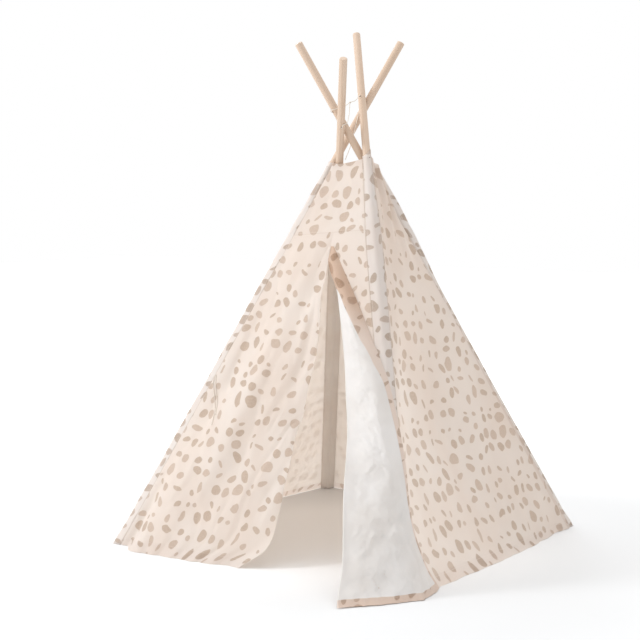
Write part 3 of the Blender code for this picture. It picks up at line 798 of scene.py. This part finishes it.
def grid_normals(grid):
    """Normals of a grid of places by central differences, one-sided at its ends."""
    rows, columns = range(len(grid)), range(len(grid[0]))
    normals = []
    for j in rows:
        below, above = grid[max(j - 1, 0)], grid[min(j + 1, rows[-1])]
        row = []
        for i in columns:
            across = grid[j][min(i + 1, columns[-1])] - grid[j][max(i - 1, 0)]
            normal = across.cross(above[i] - below[i])
            row.append(normal.normalized() if normal.length > 1e-9 else None)
        normals.append(row)
    for j in rows:
        for i in columns:
            if normals[j][i] is None:
                near = [normals[k][i] for k in (j - 1, j + 1, j - 2, j + 2) if k in rows]
                near = [normal for normal in near if normal]
                normals[j][i] = near[0] if near else UP.copy()
    return normals


def mark_layers(bm):
    return {mark: bm.verts.layers.float.new(mark) for mark in MARKS}


def set_marks(vert, layers, marks):
    for mark, layer in layers.items():
        vert[layer] = marks.get(mark, 1.0)


def cloth(
    name, node, surface, outward, columns, rows, across=(0, 1), materials=(PRINT, WALL),
    slot="printed_cotton", runs_on="",
):
    """Both sides and the cut edges of part of surface(a, u), which gives a place, its flat
    place and its edge distances. Where the cloth runs on into a neighbour there is no cut
    edge, and the shading runs on as well."""
    low = 1 if runs_on == "low" else 0
    high = 1 if runs_on == "high" else 0
    found = []
    for j in range(rows + 1):
        places = range(-low, columns + 1 + high)
        found.append([surface(lerp(*across, i / columns), j / rows) for i in places])
    normals = grid_normals([[point[0] for point in row] for row in found])
    found = [row[low:len(row) - high] for row in found]
    normals = [row[low:len(row) - high] for row in normals]
    tally = sum((n for row in normals for n in row), Vector())
    sign = 1 if tally.dot(outward) > 0 else -1
    bm = bmesh.new()
    uv = bm.loops.layers.uv.new("cloth")
    layers = mark_layers(bm)
    shading = []

    def vertex(i, j, face):
        place, flat, marks = found[j][i]
        normal = normals[j][i] * sign
        vert = bm.verts.new(place + normal * face * CLOTH / 2)
        set_marks(vert, layers, marks)
        return vert, flat, normal * face

    def quad(corners, material, shaded):
        if len({tuple(round(x, 6) for x in c[0].co) for c in corners}) < 3:
            return
        face = bm.faces.new([c[0] for c in corners])
        face.smooth = True
        face.material_index = material
        for loop, corner in zip(face.loops, corners):
            loop[uv].uv = corner[1]
            shading.append(corner[2] if shaded else Vector())

    for facing, material in ((1, 0), (-1, 1)):
        verts = [[vertex(i, j, facing) for i in range(columns + 1)] for j in range(rows + 1)]
        for j in range(rows):
            for i in range(columns):
                corners = [verts[j][i], verts[j][i + 1], verts[j + 1][i + 1], verts[j + 1][i]]
                quad(corners if facing * sign > 0 else corners[::-1], material, True)
    edges = [[(i, 0) for i in range(columns + 1)], [(i, rows) for i in range(columns, -1, -1)]]
    if not low:
        edges.append([(0, j) for j in range(rows, -1, -1)])
    if not high:
        edges.append([(columns, j) for j in range(rows + 1)])
    for edge in edges:
        pairs = [(vertex(i, j, 1), vertex(i, j, -1)) for i, j in edge]
        for (a, b), (c, d) in zip(pairs, pairs[1:]):
            corners = [a, b, d, c]
            quad(corners if sign > 0 else corners[::-1], 0, False)
    made = add_mesh(name, bm, *materials)
    made.data.normals_split_custom_set(shading)
    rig.replaces(made, node)
    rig.slot(made, slot)
    return made


def cut_from(places):
    """The smallest rectangle, turned any way, that flat places fit in."""
    best = None
    for degrees in range(0, 90, 2):
        c, s = math.cos(math.radians(degrees)), math.sin(math.radians(degrees))
        across = [x * c + y * s for x, y in places]
        along = [y * c - x * s for x, y in places]
        size = (max(across) - min(across), max(along) - min(along))
        if best is None or size[0] * size[1] < best[0] * best[1]:
            best = size
    return min(best), max(best)


def declare(made, held, rests_on):
    """The flat size comes from the cloth's own flat coordinates."""
    mesh = made.data
    corners = mesh.uv_layers["cloth"].data
    width, length = cut_from({(round(loop.uv[0], 3), round(loop.uv[1], 3)) for loop in corners})
    area = min(sum(p.area for p in mesh.polygons) / 2, width * length)
    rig.sheet(made, flat=(width, length), held=held, rests_on=rests_on, area=area)


def sew(made, corner, face, reach):
    """The cloth follows the cover, and its sewn edge follows the sleeve."""
    turn = 1 if corner is face.first else -1
    edge = corner.tip(0.5, turn)
    line = (corner.tip(1.0, turn) - corner.tip(0.2, turn)).normalized()
    inward = face.ex * turn
    inward = (inward - line * inward.dot(line)).normalized()
    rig.blend(made, "cover", corner.body, start=edge + inward * reach, end=edge)


def wall_piece(label, node, surface, face, corner, span, end, columns, rows, reach):
    made = cloth(label, node, surface, face.normal, columns, rows, span, runs_on=end)
    declare(made, "hung", ["sleeve_cloth_" + corner.name])
    sew(made, corner, face, reach)


def hung(face, across, up, sag, flare, skew=1.0, low=2.4, seed=0.0):
    """A side panel: it sags between the poles and its hem runs out on the floor."""
    flat = face.flat(across, up)
    x, y = face.uv(flat)
    side = face.width(up) * min(across, 1 - across)
    out = bump(across, skew) * (flare * lip(flat.z) - sag * bump(1 - up, low))
    calm = smooth(side, 0.0, 0.09) * smooth(1 - up, 0.0, 0.12)
    wrinkle = 0.010 * folds(x, y, seed, 0.19, 3.0, 0.25)
    wrinkle += 0.0056 * folds(x, y, seed + 3, 0.07, 4.0, -0.2)
    wrinkle += 0.0015 * folds(x, y, seed + 7, 0.026, 2.0)
    place = flat + face.normal * (out + wrinkle * calm + pucker(x, y, seed + 11, side))
    settle = lip(flat.z) * (0.0012 * folds(x, 0.0, seed + 20, 0.11, 1.0) - 0.0028)
    return on_floor(place, settle, ON_FLOOR), (x, y), {"hem": y - HEM_LIFT, "side": side * SLOPE}


BACK_STRIP = 0.026


def right_side(across, up):
    """Gathered high on the front sleeve, and folded round the back one near the floor."""
    face = FACES["right"]
    place, flat, marks = hung(face, across, up, 0.058, 0.022, 0.62, 1.7, seed=1.7)
    high = face.flat(across, up, SLEEVE_LENGTH - lerp(0.012, 0.05, across))
    place += high - face.flat(across, up)
    pleats = 0.017 + 0.012 * math.cos(across * 21 + up * 5)
    place += face.normal * smooth(up, 0.66, 0.95) * bump(across, 1.1) * pleats
    share = smooth(1 - up, 0.3, 1.0)
    strip = BACK_STRIP * share
    side = marks["side"] / SLOPE
    if across > 0.5 and strip > 0.001:
        rise = side if side < strip else strip * math.exp((strip - side) / 0.03)
        place += face.normal * 0.3 * rise * share
        marks["side"] = (side - strip) * SLOPE
    return place, flat, marks


def plain_side(name, seed):
    return lambda across, up: hung(FACES[name], across, up, 0.026, 0.011, seed=seed)


def side_panels():
    for name, node, surface, reach in (
        ("right", "right_side_panel", right_side, 0.115),
        ("back", "back_panel", plain_side("back", 12.3), 0.115),
        ("left", "left_side_panel", plain_side("left", 31.9), 0.085),
    ):
        face = FACES[name]
        for corner, span, end in face.halves():
            label = node + "_cloth_" + corner.name
            wall_piece(label, node, surface, face, corner, span, end, 44, 116, reach)


# Door

class Door:
    """Named places on the door face."""

    def __init__(self):
        face = FACES["door"]
        self.face = face
        self.seam_top = SLEEVE_LENGTH - SEAM_DROP
        self.seam = self.seam_top - FIT_GAP
        self.slit = face.flat(SLIT_SHARE, 1, self.seam_top - SLIT_BELOW_SEAM)
        self.left_slit = self.slit - Vector((DOOR_GAP, 0, 0))
        self.right_slit = self.slit + Vector((DOOR_GAP, 0, 0))
        left_foot = face.flat(0, 0)
        right_foot = face.flat(1, 0)
        run = (right_foot - left_foot).normalized()
        self.run = run
        self.left_hem = left_foot + run * 0.128 + face.normal * 0.033
        self.right_hem = right_foot - run * 0.008 + face.normal * 0.0016
        self.free_corner = lerp(left_foot, right_foot, SLIT_SHARE) + run * 0.021
        self.fold_end = self.right_hem + level(-117) * 0.172
        self.away = level(-23)
        self.layer = self.away * (CLOTH + DOOR_GAP) * 1.4
        self.bend = 1 - SLIT_BELOW_SEAM / self.seam_top

    def wrinkle(self, flat):
        """The door's left side is one cloth, so its folds run on over the hinge line."""
        x, y = self.face.uv(flat)
        soft = 0.014 * folds(x, y, 5.1, 0.15, 3.2, -0.28) + 0.011 * folds(x, y, 8.4, 0.062, 4.2, -0.3)
        fine = 0.0021 * folds(x, y, 2.2, 0.027, 2.4)
        return soft + fine - 0.0038 * creases(x - y * 0.2, y * 0.3, 6.6, 0.06)


DOOR = Door()


def header(across, up):
    """The band over the door, down to the cross seam."""
    face = DOOR.face
    low = face.flat(across, 1, DOOR.seam)
    high = face.flat(across, 1, SLEEVE_LENGTH - 0.022 * across ** 1.5)
    flat = lerp(low, high, up)
    x, y = face.uv(flat)
    side = face.width(1, lerp(DOOR.seam_top, SLEEVE_LENGTH, up)) * min(across, 1 - across)
    dip = UP * 0.012 * bump(across, 0.8) * up
    out = 0.024 * bump(across, 0.55) * up ** 4 - 0.008 * swell(across) * bump(up)
    calm = smooth(side, 0, 0.03) * smooth(up, 0, 0.12) * smooth(1 - up, 0, 0.2)
    out += calm * 0.5 * DOOR.wrinkle(flat)
    out += pucker(x, y, 4.0, side, 0.0008, 0.7, 0.04)
    marks = {"side": side, "cross": (flat - low).length, "hem": (high - flat).length}
    return flat - dip + face.normal * out, (x, y), marks


def door_side(across, up, corner, hem, slit):
    """The part of the door that stays put, between a sleeve and a flap's hinge line."""
    top = DOOR.face.flat(SLIT_SHARE, 1, DOOR.seam)
    top.x += slit.x - DOOR.slit.x
    bend = DOOR.bend
    inner = lerp(hem, slit, up / bend) if up < bend else lerp(slit, top, share_of(up, bend, 1))
    turn = 1 if corner is DOOR.face.first else -1
    outer = corner.tip(max(DOOR.seam * up, HEM_LIFT / corner.axis.z), turn)
    flat = lerp(outer, inner, across)
    side = (inner - outer).length * across
    sag = 0.008 * swell(across) * bump(1 - up, 1.3)
    x, y = DOOR.face.uv(flat)
    marks = {"side": side * SLOPE, "cross": (1 - up) * DOOR.seam_top * SLOPE, "hem": y - HEM_LIFT}
    return flat, pucker(x, y, 6.0, side) - sag, (x, y), marks, side


def ridge(height_share):
    """How far the hinge line of the left flap stands out from the door's flat span."""
    return 0.033 * clamp(1 - height_share)


def left_panel(across, up):
    flat, out, uv, marks, side = door_side(across, up, DOOR.face.first, DOOR.left_hem, DOOR.left_slit)
    calm = smooth(side, 0.0, 0.06) * smooth(1 - up, 0.0, 0.06)
    out += DOOR.wrinkle(flat) * calm + 0.011 * swell(across) * lip(flat.z)
    out += ridge(up / DOOR.bend) * (math.sin(math.pi * across / 2) - across)
    out -= 0.016 * math.exp(-((side - 0.034) / 0.02) ** 2) * smooth(1 - up, 0.7, 0.93)
    return on_floor(flat + DOOR.face.normal * out, -0.003 * lip(flat.z), ON_FLOOR), uv, marks


def right_panel(across, up):
    flat, out, uv, marks, side = door_side(
        1 - across, up, DOOR.face.second, DOOR.right_hem, DOOR.right_slit
    )
    out += 0.003 * folds(*uv, 9.0, 0.07, 3.0) * smooth(side, 0, 0.04) * smooth(across, 0, 0.3)
    return on_floor(flat + DOOR.face.normal * out), uv, marks


# How far a free edge stands aside of its straight line, from the slit's top to the hem
FREE_SWAY = (
    (0, 0), (0.15, 0), (0.25, 0.011), (0.35, 0.012), (0.5, -0.006), (0.62, -0.03), (0.86, -0.042),
    (0.95, -0.014), (1, -0.033),
)
FOLD_SWAY = (
    (0, 0), (0.05, -0.017), (0.16, 0.004), (0.42, 0.012), (0.56, 0.018), (0.72, 0.012), (0.9, 0.018),
    (1, 0.004),
)
FOLD_BOW = 0.027
FOOT_KICK = 0.05


def left_flap(across, up):
    """The closed flap: it falls inward toward its free edge and turns out at the hem."""
    down = 1 - up
    share = lerp(0.004, 1, down)
    hinge = lerp(DOOR.left_slit, DOOR.left_hem, share)
    free = lerp(DOOR.left_slit, DOOR.free_corner, share)
    turned = max(0, share_of(down, 0.86, 1)) ** 1.9
    drawn = free + DOOR.run * (follow(FREE_SWAY, down) - 0.084 * turned)
    flat = lerp(hinge, free, across)
    place = lerp(hinge, drawn, across)
    x, y = DOOR.face.uv(flat)
    width = (free - hinge).length
    fall = 0.043 * clamp(across) ** 1.6 * bump(down, 2.2)
    out = 0.0132 * swell(across) * lip(place.z) + 0.0077 * across * turned
    out += ridge(1 - share) * (0.5 + 0.5 * math.cos(math.pi * across) - (1 - across))
    out += DOOR.wrinkle(flat) * smooth(width, 0.0, 0.06)
    out -= 0.009 * math.exp(-((across - 0.77) / 0.09) ** 2) * bump((down - 0.13) / 0.4)
    ripple = 0.004 * across * folds(0.3, y, 3.3, 0.13, 1.0) * smooth(width, 0, 0.1)
    place += DOOR.face.normal * (out - fall + ripple)
    return on_floor(place, -0.003 * lip(flat.z), ON_FLOOR), (x, y), {"hem": y - HEM_LIFT}


def fold_edge(down):
    """Where the right flap turns back on itself."""
    bow = level(40) * FOLD_BOW * bump(down, 0.8) ** 1.3 + DOOR.run * follow(FOLD_SWAY, down)
    place = lerp(DOOR.right_slit, DOOR.fold_end, lerp(0.006, 1, down)) + bow
    return place + level(-54) * FOOT_KICK * math.exp(-place.z / 0.035)


def inner_flap(across, up):
    """The right flap between its hinge line and its fold."""
    down = 1 - up
    hinge = lerp(DOOR.right_slit, DOOR.right_hem, lerp(0.006, 1, down))
    hinge += DOOR.face.normal * 0.0010 * smooth(down, 0, 0.1)
    fold = fold_edge(down)
    place = lerp(hinge, fold, across)
    side = (fold - hinge).cross(UP).normalized()
    width = (fold - hinge).length
    x, y = width * across, -down * FLAP_LENGTH
    place -= side * 0.004 * folds(x, y, 15.0, 0.1, 2.5) * bump(across) * smooth(width, 0, 0.1)
    return on_floor(place), (x + 0.31, y), {"hem": up * FLAP_LENGTH}


def free_stops():
    """The turned-back edge: over the front sleeve, then down the right panel."""
    face = FACES["right"]
    corner = face.first
    start = DOOR.right_slit + DOOR.layer + DOOR.run * 0.0065 + DOOR.face.normal * 0.0018
    stops = [(0, start)]
    for height_share, side_share in ((0.62, 0.1), (0.38, 1.35)):
        along = DOOR.slit.z * height_share / corner.axis.z
        out = corner.half_thickness(along) / corner.axis.z + 0.0055
        side = corner.side * corner.half_width(along) * side_share
        stops.append((1 - height_share, corner.at(along) + side + corner.outward * out))
    for height_share, across in ((0.20, 0.044), (0.08, 0.068), (0, 0.108)):
        up = DOOR.slit.z * height_share / face.flat(across, 1).z
        stops.append((1 - height_share, right_side(across, up)[0] + face.normal * 0.0065))
    return stops


FREE_STOPS = free_stops()


def free_edge(down):
    """The line through these stops, with its corners eased."""
    straight = follow(FREE_STOPS, down, share_of)
    near = [follow(FREE_STOPS, clamp(down + 0.035 * i), share_of) for i in (-2, -1, 0, 1, 2)]
    eased = sum(near, Vector()) / len(near)
    return lerp(straight, eased, smooth(down, 0.05, 0.2) * smooth(1 - down, 0.0, 0.1))


# The turned-back half goes on round the fold by this share of its width
CURL = 0.05
# Down its free edge the printed band is as wide as FREE_HEM divided by these
BAND = ((0, 0.3), (0.10, 0.3), (0.16, 0.62), (0.27, 0.8), (0.34, 1.1), (0.42, 2.0), (1, 2.0))


def turned_flap(across, up):
    """The flap's outer half, lining outward, wrapped round the front right corner."""
    down = 1 - up
    fold = fold_edge(down) + DOOR.layer
    chord = free_edge(lerp(0.006, 1, down)) - fold
    away = Vector((chord.y, -chord.x, 0)).normalized()
    width = chord.length
    x, y = width * across, -down * FLAP_LENGTH
    # Painted shade on the printed band: darkest down to 12 per cent of the way from the slit's top to the hem, plain
    # past 30 per cent
    shade = smooth(down, 0.12, 0.3)
    marks = {"hem": up * FLAP_LENGTH, "free": (width - max(x, 0)) * follow(BAND, down)}
    if across < 0:
        angle = math.pi * across / -CURL
        round_fold = DOOR.away * math.cos(angle) + level(-113) * math.sin(angle)
        place = fold_edge(down) + DOOR.layer / 2 + round_fold * (DOOR.layer.length / 2)
        return on_floor(place), (across * 0.06, y), {**marks, "shade": shade}
    place = fold + chord * across
    calm = smooth(x, 0.0, 0.05) * smooth(width - x, 0.0, 0.07) * smooth(down, 0.0, 0.25)
    soft = 0.014 * folds(x, y, 21.0, 0.12, 2.2, 0.45) + 0.006 * folds(x, y, 24.0, 0.055, 1.8, -0.4)
    sharp = 0.007 * creases(x, y * 0.7 + x * 0.4, 27.0, 0.1)
    sharp += 0.0042 * creases(x + y * 0.3, y, 29.0, 0.05) + 0.0016 * creases(x - y * 0.4, y, 31.0, 0.024)
    belly = 0.06 * down ** 0.9 * bump(across, 1.6) + 0.016 * bump(down, 0.5) ** 2 * bump(across, 0.9)
    place += away * (belly + calm * (soft + sharp))
    lift = 0.0012 * lip(place.z) * folds(x, 0, 18.0, 0.07, 1.0)
    # The band's painted shade deepens again along the hem, near the floor
    marks["shade"] = shade * lerp(0.55, 1, smooth(up, 0.02, 0.06))
    return on_floor(place, lift), (x, y), marks


LEFT_REACH = 0.075
RIGHT_REACH = 0.06


def door():
    face = DOOR.face
    reaches = {face.first: LEFT_REACH, face.second: RIGHT_REACH}
    for corner, span, end in face.halves():
        label = "door_header_cloth_" + corner.name
        wall_piece(label, "door_header", header, face, corner, span, end, 20, 36, reaches[corner])
    for corner, label, surface, columns, end in (
        (face.first, "left", left_panel, 26, "high"), (face.second, "right", right_panel, 18, ""),
    ):
        names = ("door_%s_cloth" % label, "door_%s_panel" % label)
        wall_piece(*names, surface, face, corner, (0, 1), end, columns, 110, reaches[corner])
    made = cloth("left_flap_cloth", "door_left_flap", left_flap, face.normal, 52, 116, runs_on="low")
    declare(made, "hung", ["door_left_cloth"])
    line = (DOOR.left_hem - DOOR.left_slit).normalized()
    inward = (DOOR.run - line * DOOR.run.dot(line)).normalized()
    middle = lerp(DOOR.left_slit, DOOR.left_hem, 0.5)
    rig.blend(made, "cover", "flap_left", start=middle, end=middle + inward * 0.05)
    out = (DOOR.fold_end - DOOR.right_hem).cross(UP).normalized()
    made = cloth(
        "right_flap_inner_cloth", "door_right_flap_inner", inner_flap, -out if out.x > 0 else out,
        20, 100, materials=(PRINT, WHITE),
    )
    declare(made, "hung", ["door_right_cloth"])
    sew(made, face.second, face, RIGHT_REACH)
    made = cloth(
        "right_flap_turned_cloth", "door_right_flap_turned_back", turned_flap, Vector((0.4, -1, 0.1)),
        64, 124, (-CURL, 1), (WHITE, PRINT), slot="white_lining",
    )
    declare(made, "folded", ["sleeve_cloth_front_right"])
    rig.ride(made, "flap_right")


# Sleeves

LOOSE = {"back_right": 0.016, "back_left": 0.006, "front_left": 0.0, "front_right": 0.0}
MOUTH_SLANT = {"back_right": 0.006, "back_left": 0.004, "front_left": -0.003, "front_right": 0.013}
SLEEVE_COLUMNS = 22
SLEEVE_ROWS = 120
TACK_BELOW_MOUTH = 0.016


def sleeve_ring(corner, seed, along):
    """One ring of a flat sewn tube drawn over a round pole: taut from its sewn edges to the
    pole. It gives each place with its distance x from the pole's line and its side."""
    width = corner.half_width(along)
    thick = corner.half_thickness(along)
    touch = min(thick * thick / width, width * 0.98)
    rise = math.sqrt(max(thick * thick - touch * touch, 0))
    loose = LOOSE[corner.name] * smooth(along, 0.84, 1.24) + 0.004 * (1 - smooth(along, 0.015, 0.07))
    slant = MOUTH_SLANT[corner.name] * smooth(along, SLEEVE_LENGTH - 0.12, SLEEVE_LENGTH)
    for facing in (1, -1):
        for i in range(SLEEVE_COLUMNS):
            x = width * -math.cos(math.pi * i / SLEEVE_COLUMNS) * facing
            from_edge = width - abs(x)
            if abs(x) <= touch:
                out = math.sqrt(thick * thick - x * x)
            else:
                out = rise * from_edge / max(width - touch, 1e-6)
            wing = smooth(abs(x), touch * 0.6, width * 0.8) * smooth(from_edge, 0.0, 0.004)
            out += abs(0.003 * folds(x, along, seed, 0.05, 2.2))
            out += 0.003 * wing * folds(x, along, seed + 5, 0.026, 1.4)
            out = max(out, 0.0012 * smooth(from_edge, 0, 0.003))
            if facing > 0:
                out += loose * math.sqrt(1 - (x / width) ** 2)
            place = corner.at(along + slant * x / width) + corner.side * x
            yield place + corner.outward * out * facing / corner.axis.z, x, from_edge, facing


def sleeve(corner, seed):
    bm = bmesh.new()
    uv = bm.loops.layers.uv.new("cloth")
    layers = mark_layers(bm)
    rings = []
    for j in range(SLEEVE_ROWS + 1):
        along = SLEEVE_LENGTH * j / SLEEVE_ROWS
        ring = []
        for place, x, from_edge, facing in sleeve_ring(corner, seed, along):
            vert = bm.verts.new(place)
            set_marks(vert, layers, {"hem": SLEEVE_LENGTH - along, "side": from_edge})
            ring.append((vert, x + seed + (0.5 if facing < 0 else 0), along))
        rings.append(ring)
    skin(bm, uv, rings, SLEEVE_COLUMNS)
    bm.faces.new([c[0] for c in rings[0]])
    bmesh.ops.recalc_face_normals(bm, faces=bm.faces)
    made = add_mesh("sleeve_cloth_" + corner.name, bm, SLEEVE_PRINT, STRIP_WITH_PAINTED_LIGHT)
    faces = made.data.polygons
    face = max(faces, key=lambda p: p.area if len(p.vertices) == 4 else 0)
    middle = corner.at(Vector(face.center).z / corner.axis.z)
    wall = made.modifiers.new("cloth", "SOLIDIFY")
    wall.thickness = CLOTH
    wall.offset = -1 if (Vector(face.center) - middle).dot(face.normal) > 0 else 1
    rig.ride(made, corner.body)
    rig.replaces(made, "sleeve_" + corner.name)
    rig.slot(made, "printed_cotton")
    size = (2 * SLEEVE_FLAT_WIDTH + SLEEVE_SEAM, SLEEVE_LENGTH)
    area = min(sum(p.area for p in faces), size[0] * size[1])
    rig.sheet(made, flat=size, held="hung", rests_on=["pole_lower_" + corner.name], area=area)


def tack(corner):
    """The stitched tack at a sleeve's mouth."""
    along = SLEEVE_LENGTH - TACK_BELOW_MOUTH
    spot = corner.at(along) + corner.side * 0.006
    spot += corner.outward * (corner.half_thickness(along) + 0.0012)
    ends = [spot - corner.side * 0.0026, spot + corner.side * 0.0026]
    made = rope("tack_" + corner.name, spaced(ends, 0.0005), 0.0016, pitch=0.0011, plies=2, material=TACK)
    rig.ride(made, corner.body)
    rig.slot(made, "cotton_cord")


def dress_poles():
    metal = steel()
    for index, corner in enumerate(CORNERS.values()):
        for part in ("lower", "upper"):
            seed = 1.0 + index * 1.7 + (0.8 if part == "upper" else 0)
            wood = pine("pine_%s_%s" % (part, corner.name), corner.axis, corner.foot, seed)
            for place in frame["nodes"]["pole_%s_%s" % (part, corner.name)].material_slots:
                place.material = wood
        for place in frame["nodes"]["ferrule_" + corner.name].material_slots:
            place.material = metal


# Lashing and ties

def hole(corner, reach, heading):
    middle = corner.at(corner.pole_start + POLE_LENGTH - HOLE_BELOW_TIP)
    direction = level(heading)
    direction = (direction - corner.axis * direction.dot(corner.axis)).normalized()
    return middle + direction * reach


def lashing():
    knot = Vector((0.002, 0.007, 1.372))
    mouth = POLE_RADIUS + CORD_DIAMETER
    knot_body = knot_piece("lashing_knot_cord", knot, 0.0085, 0.0022)
    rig.replaces(knot_body, "lashing_knot")

    def from_knot(place):
        return knot + (Vector(place) - knot).normalized() * 0.004

    for name, heading, knots, route in (
        (
            "back_right", -112, [knot_body],
            [(0.009, -0.043, 1.354), (0.005, -0.068, 1.349), (-0.010, -0.077, 1.345)],
        ),
        (
            "back_left", -44, (),
            [
                (0.006, -0.002, 1.342), (0.019, -0.026, 1.32), (0.034, -0.054, 1.306),
                (0.034, -0.074, 1.299),
            ],
        ),
    ):
        corner = CORNERS[name]
        route = [from_knot(route[0])] + route + [hole(corner, mouth, heading), hole(corner, 0.0, heading)]
        lay_cord("lashing_" + name, "lashing_cord_" + name, route, CORD_DIAMETER, "object", knots)
    near, far = CORNERS["front_right"], CORNERS["front_left"]
    start = (0.007, 0.029, 1.379)
    route = [
        from_knot(start), start,
        hole(near, mouth, -78), hole(near, 0.0, -78), hole(near, -mouth, -78),
        (-0.003, 0.092, 1.386), (-0.004, 0.107, 1.372),
        hole(far, -mouth, -88), hole(far, 0.0, -88), hole(far, mouth, -88),
        (0.000, 0.061, 1.345), (-0.006, 0.054, 1.313), (-0.013, 0.047, 1.273),
        (-0.018, 0.038, 1.238), (-0.025, 0.020, 1.196),
    ]
    lay_cord("lashing_front", "lashing_cord_front", route, CORD_DIAMETER, "object")


def left_tie():
    for name, shares in (
        (
            "left_tie_long",
            [(0.01, 0.548), (0.05, 0.53), (0.2, 0.5), (0.36, 0.467), (0.54, 0.437), (0.73, 0.397)],
        ),
        ("left_tie_short", [(0.02, 0.551), (0.15, 0.521), (0.31, 0.487), (0.5, 0.454), (0.64, 0.428)]),
    ):
        fine = []
        for (a, u), (b, v) in zip(shares, shares[1:]):
            fine += [(lerp(a, b, i / 4), lerp(u, v, i / 4)) for i in range(4)]
        normal = DOOR.face.normal
        places = [left_panel(*share)[0] + normal * 0.0028 for share in fine + [shares[-1]]]
        end = knot_piece(name + "_end_knot", places[-1] + normal * 0.001, 0.0062, 0.0016)
        lay_cord(name + "_cord", name, places, TIE_DIAMETER, "knot", [end])


lashing()
left_tie()
for index, each in enumerate(CORNERS.values()):
    sleeve(each, 2.0 + index * 0.83)
    tack(each)
side_panels()
door()
dress_poles()


# Studio

WHITE_LIGHT = (1, 1, 1, 1)


def studio():
    """Even light from all round, which the camera sees a little brighter, and three lamps."""
    world = bpy.data.worlds.new("studio")
    bpy.context.scene.world = world
    n = Nodes(world)
    rays = n.add("ShaderNodeLightPath")
    direct = n.math("MAXIMUM", rays.outputs["Is Camera Ray"], rays.outputs["Is Glossy Ray"])
    soft, seen = (n.add("ShaderNodeBackground", None, Color=WHITE_LIGHT, Strength=s) for s in (0.88, 1.0))
    n.show(n.add("ShaderNodeMixShader", None, i0=direct, i1=soft, i2=seen))
    for name, place, size, power in (
        ("key", (-3.4, -3.4, 3.0), 1.4, 116),
        ("top", (-0.6, 0.6, 4.6), 3.0, 66),
        ("back", (-3.6, 3.4, 2.6), 2.4, 62),
    ):
        data = bpy.data.lights.new(name, "AREA")
        data.shape = "SQUARE"
        data.size = size
        data.energy = power
        data.color = (0.94, 0.97, 1)
        lamp = add_object(name, data)
        lamp.location = place
        lamp.rotation_euler = (Vector((0, 0, 0.5)) - Vector(place)).to_track_quat("-Z", "Y").to_euler()


def floor():
    """Pale, and fading into the white behind it as the camera sees it."""
    bm = bmesh.new()
    bmesh.ops.create_grid(bm, x_segments=2, y_segments=2, size=14)
    n = new_nodes("studio floor")
    where = n.place()
    seen = n.add("ShaderNodeLightPath").outputs["Is Camera Ray"]
    away = n.length(where)
    pale = n.mix(n.noise(where, 1.2, 2.0), (0.945, 0.943, 0.94, 1), (0.955, 0.955, 0.955, 1))
    calm = n.mix(n.times(seen, n.ramp(away, 0.35, 0.8)), pale, (0.79, 0.79, 0.79, 1))
    n.fill(n.shader, Base_Color=calm, Roughness=0.8, Specular_IOR_Level=0.2)
    strength = n.times(seen, n.ramp(away, 1.0, 2.6, 0.0, 0.4))
    glow = n.add("ShaderNodeEmission", None, Color=WHITE_LIGHT, Strength=strength)
    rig.stage(add_mesh("floor", bm, n.show(n.add("ShaderNodeAddShader", None, i0=n.shader, i1=glow))))


studio()
floor()
bpy.context.scene.view_settings.view_transform = "Standard"

with open("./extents.json", "w") as sizes:
    json.dump([[[float(x) for x in corner] for corner in box] for box in (cad_box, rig.bounds())], sizes)
